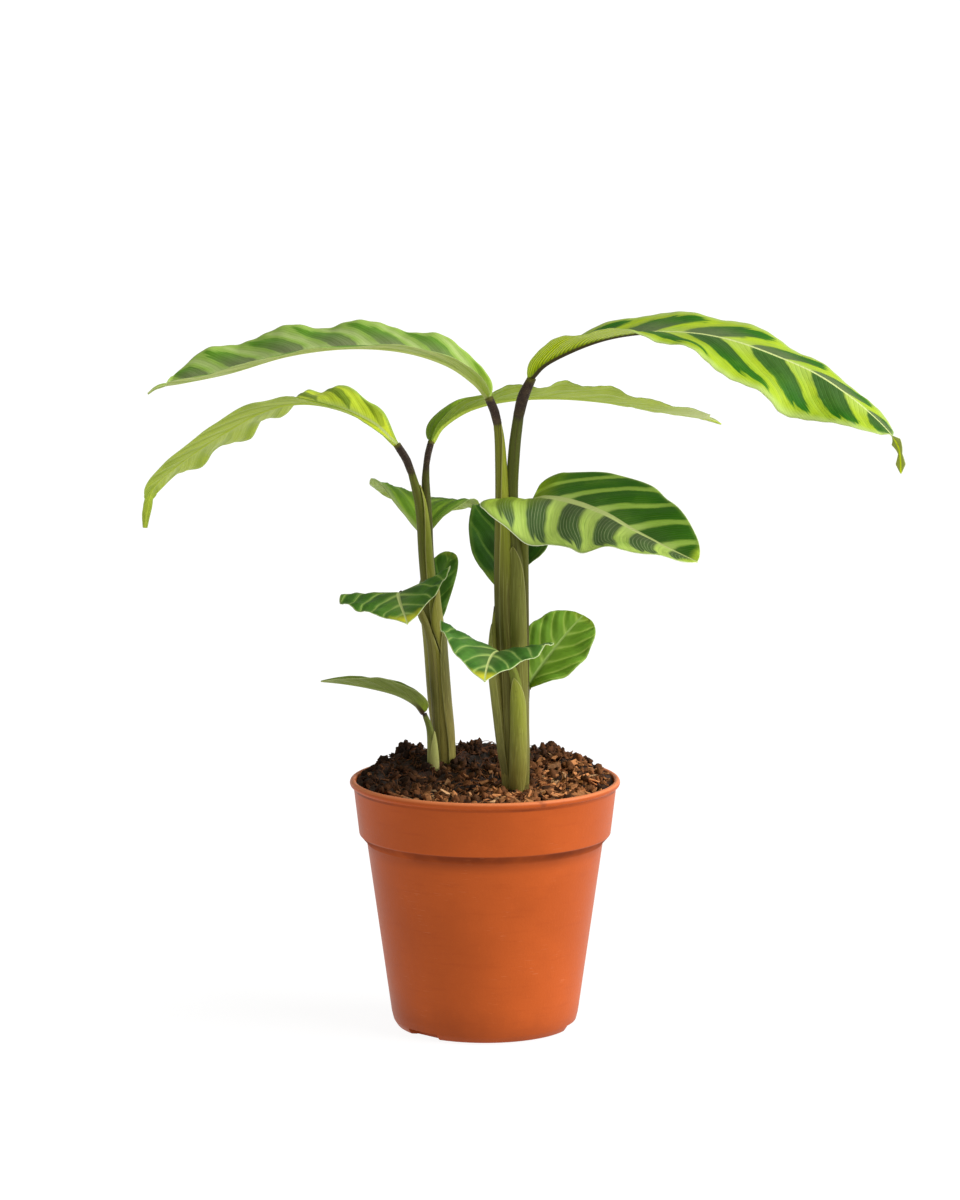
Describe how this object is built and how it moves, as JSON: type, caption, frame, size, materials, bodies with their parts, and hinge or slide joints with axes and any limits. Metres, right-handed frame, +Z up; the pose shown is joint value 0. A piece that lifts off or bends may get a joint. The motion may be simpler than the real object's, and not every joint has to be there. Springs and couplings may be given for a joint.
{
  "type": "potted plant",
  "caption": "Leafy zebra-patterned houseplant with long arching blades on upright stalks, standing in potting mix in a tapered round nursery pot.",
  "frame": {"origin": "centre of the pot's flat underside", "axes": "+Z up, -Y towards the front as seen in the picture, +X to the right"},
  "size_m": [0.3345, 0.1766, 0.3212],
  "materials": {
    "terracotta": "satin",
    "soil": "matte",
    "stalk": "satin",
    "pulvinus": "satin",
    "blade": "satin"
  },
  "bodies": {
    "root": {"pot": "terracotta", "soil": "soil", "stalks_right": "stalk", "stalks_left": "stalk", "shoot_stalk": "stalk", "pulvinus_upper_left": "pulvinus", "pulvinus_upper_right": "pulvinus", "pulvinus_lower_left": "pulvinus", "pulvinus_back_right": "pulvinus", "blade_upper_left": "blade", "blade_lower_left": "blade", "blade_upper_right": "blade", "blade_back_right": "blade", "blade_front_right": "blade", "blade_front_low": "blade", "blade_front": "blade", "blade_behind": "blade", "blade_back_high": "blade", "blade_back_left": "blade", "blade_low_right": "blade", "blade_shoot": "blade"}
  },
  "joints": []
}
